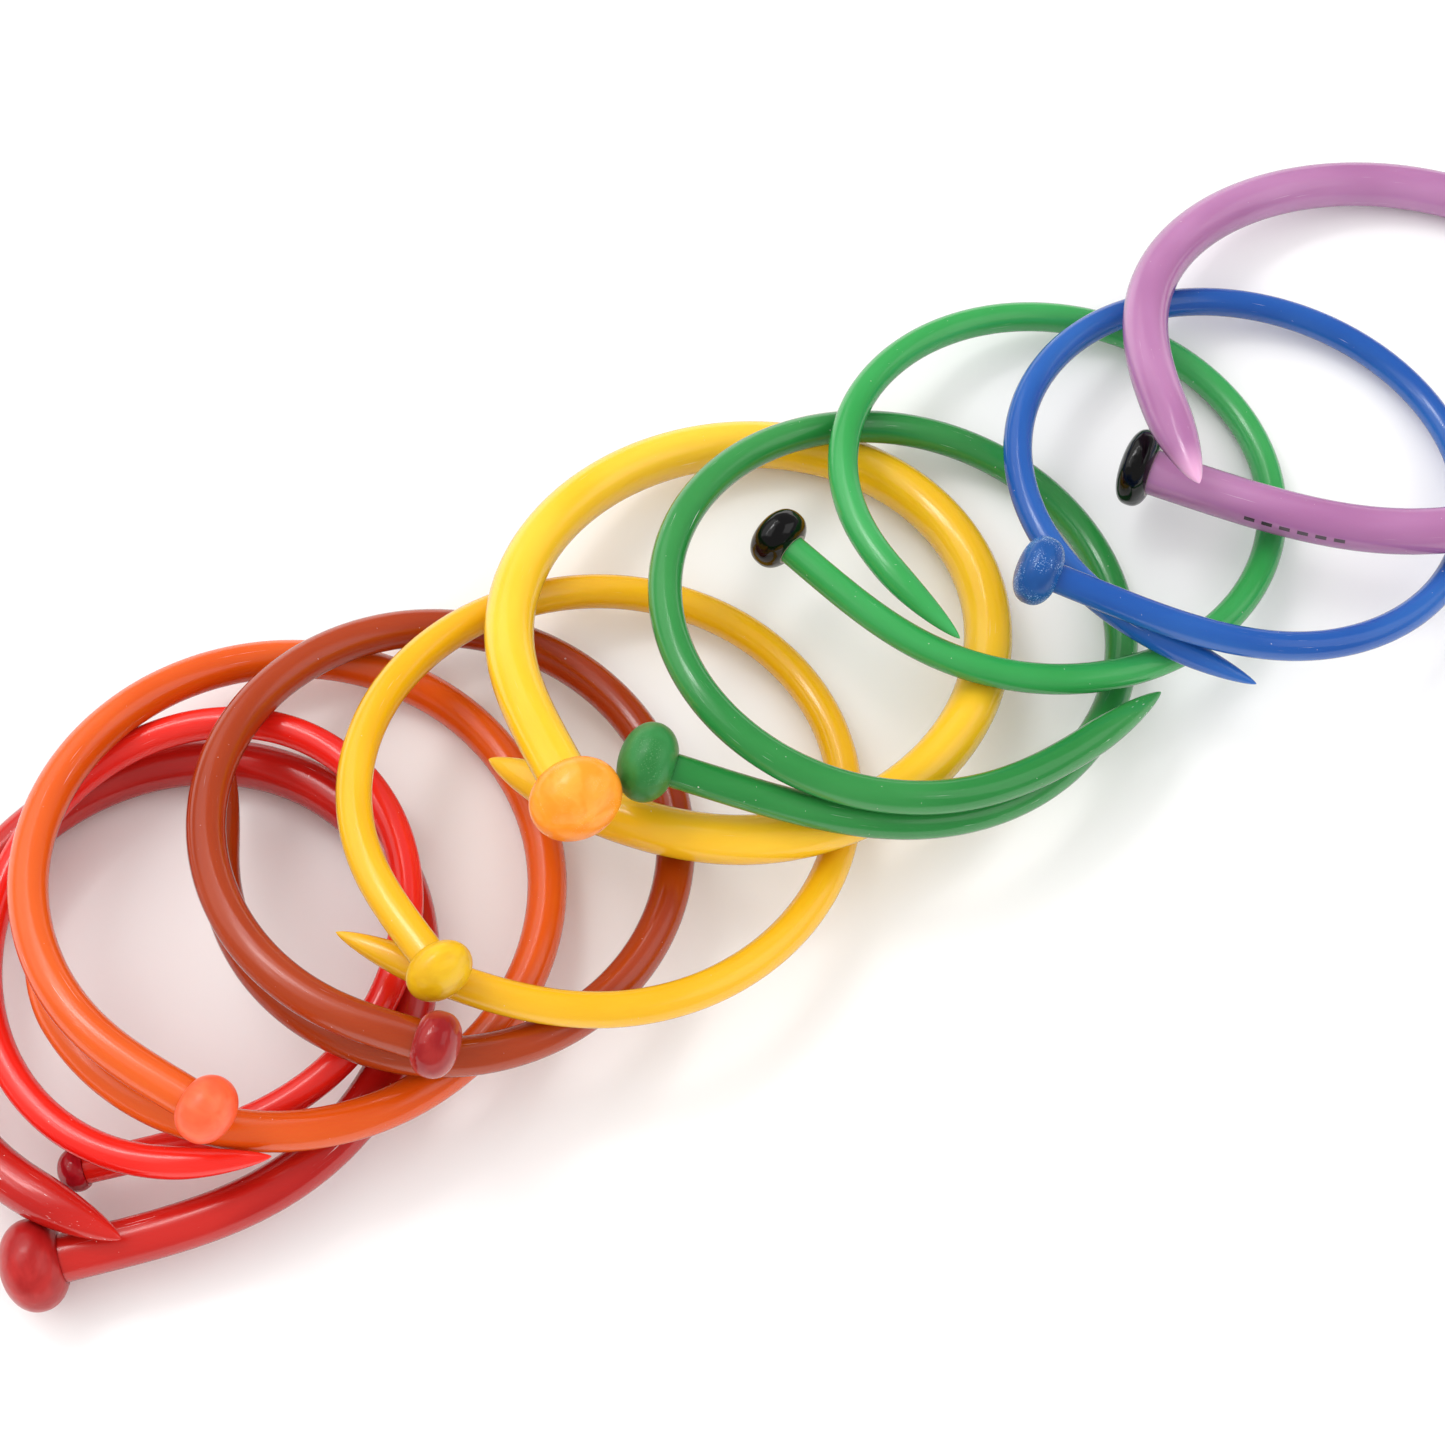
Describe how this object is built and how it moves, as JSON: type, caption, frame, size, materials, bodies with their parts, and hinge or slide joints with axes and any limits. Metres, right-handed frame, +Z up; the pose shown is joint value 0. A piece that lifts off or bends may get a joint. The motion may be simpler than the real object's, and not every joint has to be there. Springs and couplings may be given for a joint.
{
  "type": "bent knitting needles",
  "caption": "Plastic knob-headed knitting needles, each heat-bent into a bangle, lying in an overlapping row with every needle free to lift off the one below.",
  "frame": {"origin": "on the table, under the middle of the row's outline", "axes": "+X along the row from the crimson needle to the mauve one, +Y across it away from the viewer's side, +Z up"},
  "size_m": [0.2919, 0.0994, 0.0364],
  "materials": {
    "crimson_shaft": "moulded plastic, polished by handling",
    "crimson_knob": "polished moulded knob",
    "scarlet_shaft": "moulded plastic, polished by handling",
    "scarlet_knob": "polished moulded knob",
    "orange_shaft": "moulded plastic, polished by handling",
    "orange_knob": "polished moulded knob",
    "rust_shaft": "moulded plastic, polished by handling",
    "rust_knob": "polished moulded knob",
    "gold_shaft": "moulded plastic, polished by handling",
    "gold_knob": "polished moulded knob",
    "yellow_shaft": "moulded plastic, polished by handling",
    "yellow_knob": "polished moulded knob",
    "dark_green_shaft": "moulded plastic, polished by handling",
    "dark_green_knob": "polished moulded knob",
    "light_green_shaft": "moulded plastic, polished by handling",
    "light_green_knob": "polished moulded knob",
    "blue_shaft": "moulded plastic, polished by handling",
    "blue_knob": "polished moulded knob",
    "mauve_shaft": "moulded plastic, polished by handling",
    "mauve_knob": "polished moulded knob"
  },
  "bodies": {
    "crimson_needle": {"crimson_shaft": "crimson_shaft", "crimson_knob": "crimson_knob"},
    "scarlet_needle": {"scarlet_shaft": "scarlet_shaft", "scarlet_knob": "scarlet_knob"},
    "orange_needle": {"orange_shaft": "orange_shaft", "orange_knob": "orange_knob"},
    "rust_needle": {"rust_shaft": "rust_shaft", "rust_knob": "rust_knob"},
    "gold_needle": {"gold_shaft": "gold_shaft", "gold_knob": "gold_knob"},
    "yellow_needle": {"yellow_shaft": "yellow_shaft", "yellow_knob": "yellow_knob"},
    "dark_green_needle": {"dark_green_shaft": "dark_green_shaft", "dark_green_knob": "dark_green_knob"},
    "light_green_needle": {"light_green_shaft": "light_green_shaft", "light_green_knob": "light_green_knob"},
    "blue_needle": {"blue_shaft": "blue_shaft", "blue_knob": "blue_knob"},
    "mauve_needle": {"mauve_shaft": "mauve_shaft", "mauve_knob": "mauve_knob"}
  },
  "joints": [
    {"name": "scarlet_lift", "type": "slide", "parent": "crimson_needle", "child": "scarlet_needle", "axis": [0, 0, 1], "range_m": [0, 0.015]},
    {"name": "orange_lift", "type": "slide", "parent": "scarlet_needle", "child": "orange_needle", "axis": [0, 0, 1], "range_m": [0, 0.023]},
    {"name": "rust_lift", "type": "slide", "parent": "orange_needle", "child": "rust_needle", "axis": [0, 0, 1], "range_m": [0, 0.034]},
    {"name": "gold_lift", "type": "slide", "parent": "rust_needle", "child": "gold_needle", "axis": [0, 0, 1], "range_m": [0, 0.036]},
    {"name": "yellow_lift", "type": "slide", "parent": "gold_needle", "child": "yellow_needle", "axis": [0, 0, 1], "range_m": [0, 0.038]},
    {"name": "dark_green_lift", "type": "slide", "parent": "yellow_needle", "child": "dark_green_needle", "axis": [0, 0, 1], "range_m": [0, 0.04]},
    {"name": "light_green_lift", "type": "slide", "parent": "dark_green_needle", "child": "light_green_needle", "axis": [0, 0, 1], "range_m": [0, 0.036]},
    {"name": "blue_lift", "type": "slide", "parent": "light_green_needle", "child": "blue_needle", "axis": [0, 0, 1], "range_m": [0, 0.025]},
    {"name": "mauve_lift", "type": "slide", "parent": "blue_needle", "child": "mauve_needle", "axis": [0, 0, 1], "range_m": [0, 0.032]}
  ]
}
